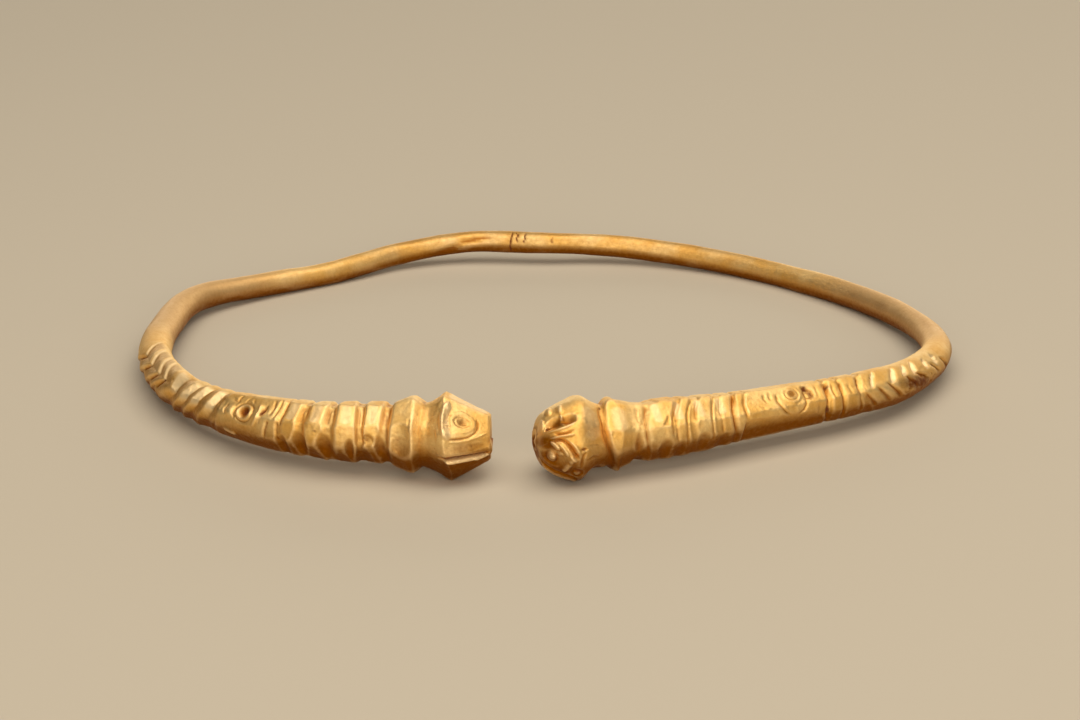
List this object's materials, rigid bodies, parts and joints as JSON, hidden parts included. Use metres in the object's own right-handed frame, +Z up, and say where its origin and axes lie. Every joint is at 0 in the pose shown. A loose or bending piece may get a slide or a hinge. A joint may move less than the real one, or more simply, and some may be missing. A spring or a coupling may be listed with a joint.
{
  "type": "animal-head bracelet",
  "caption": "Open gold bracelet: a hammered rod that thickens into notched, scaled arms ending in small animal heads that nearly meet.",
  "frame": {"origin": "middle of the footprint, on the surface that the bracelet lies on", "axes": "+Z up, out of the plane that the bracelet lies in; +X from the left head to the right one; the opening between the heads faces -Y"},
  "size_m": [0.0774, 0.0646, 0.0074],
  "materials": {
    "gold": "high-carat yellow gold, hammered and chased, worn satin, with reddish-brown dirt in the hollows"
  },
  "bodies": {
    "root": {"bracelet": "gold"}
  },
  "joints": []
}
